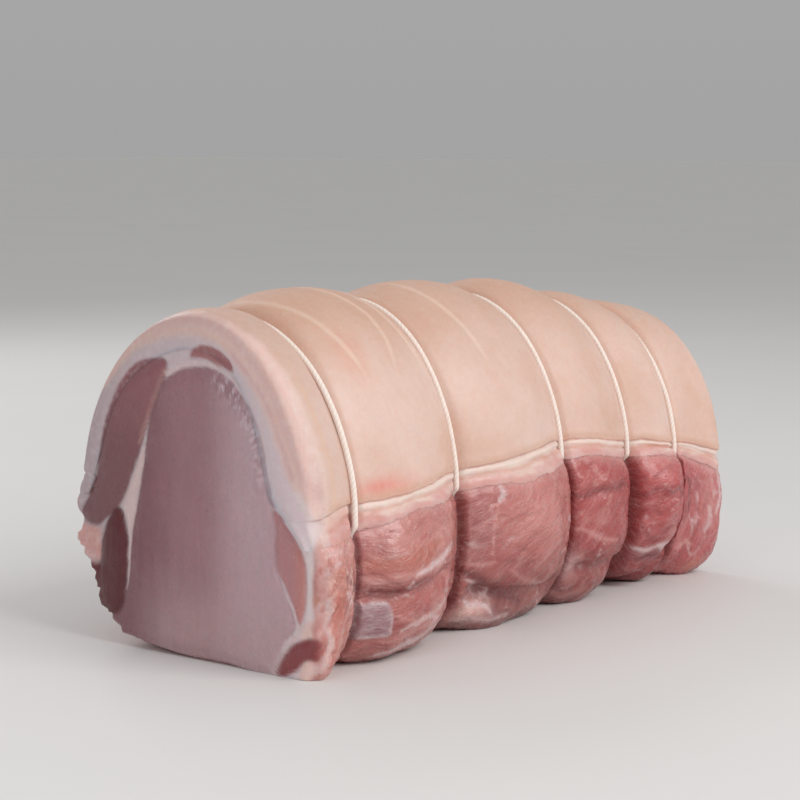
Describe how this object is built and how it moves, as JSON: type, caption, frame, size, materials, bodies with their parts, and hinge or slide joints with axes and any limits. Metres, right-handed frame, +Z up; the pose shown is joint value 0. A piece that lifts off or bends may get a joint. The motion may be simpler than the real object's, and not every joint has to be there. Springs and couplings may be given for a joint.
{
  "type": "raw pork loin joint",
  "caption": "Raw boned pork loin with its rind on, rolled and tied with loops of white cotton string, lying on its rib side.",
  "frame": {"origin": "centre of the bounding box at the level of the resting surface", "axes": "+X along the loin away from the near cut face, -Y towards the side with the straight rind edge, +Z up through the crown of the rind"},
  "size_m": [0.236, 0.1212, 0.1171],
  "materials": {
    "rind_and_fat": "smooth waxy skin over soft white fat",
    "lean_meat": "moist raw muscle",
    "cotton_string": "twisted cotton"
  },
  "bodies": {
    "root": {"fat_cap": "rind_and_fat", "loin_meat": "lean_meat", "string_1": "cotton_string", "string_2": "cotton_string", "string_3": "cotton_string", "string_4": "cotton_string", "string_5": "cotton_string"}
  },
  "joints": []
}
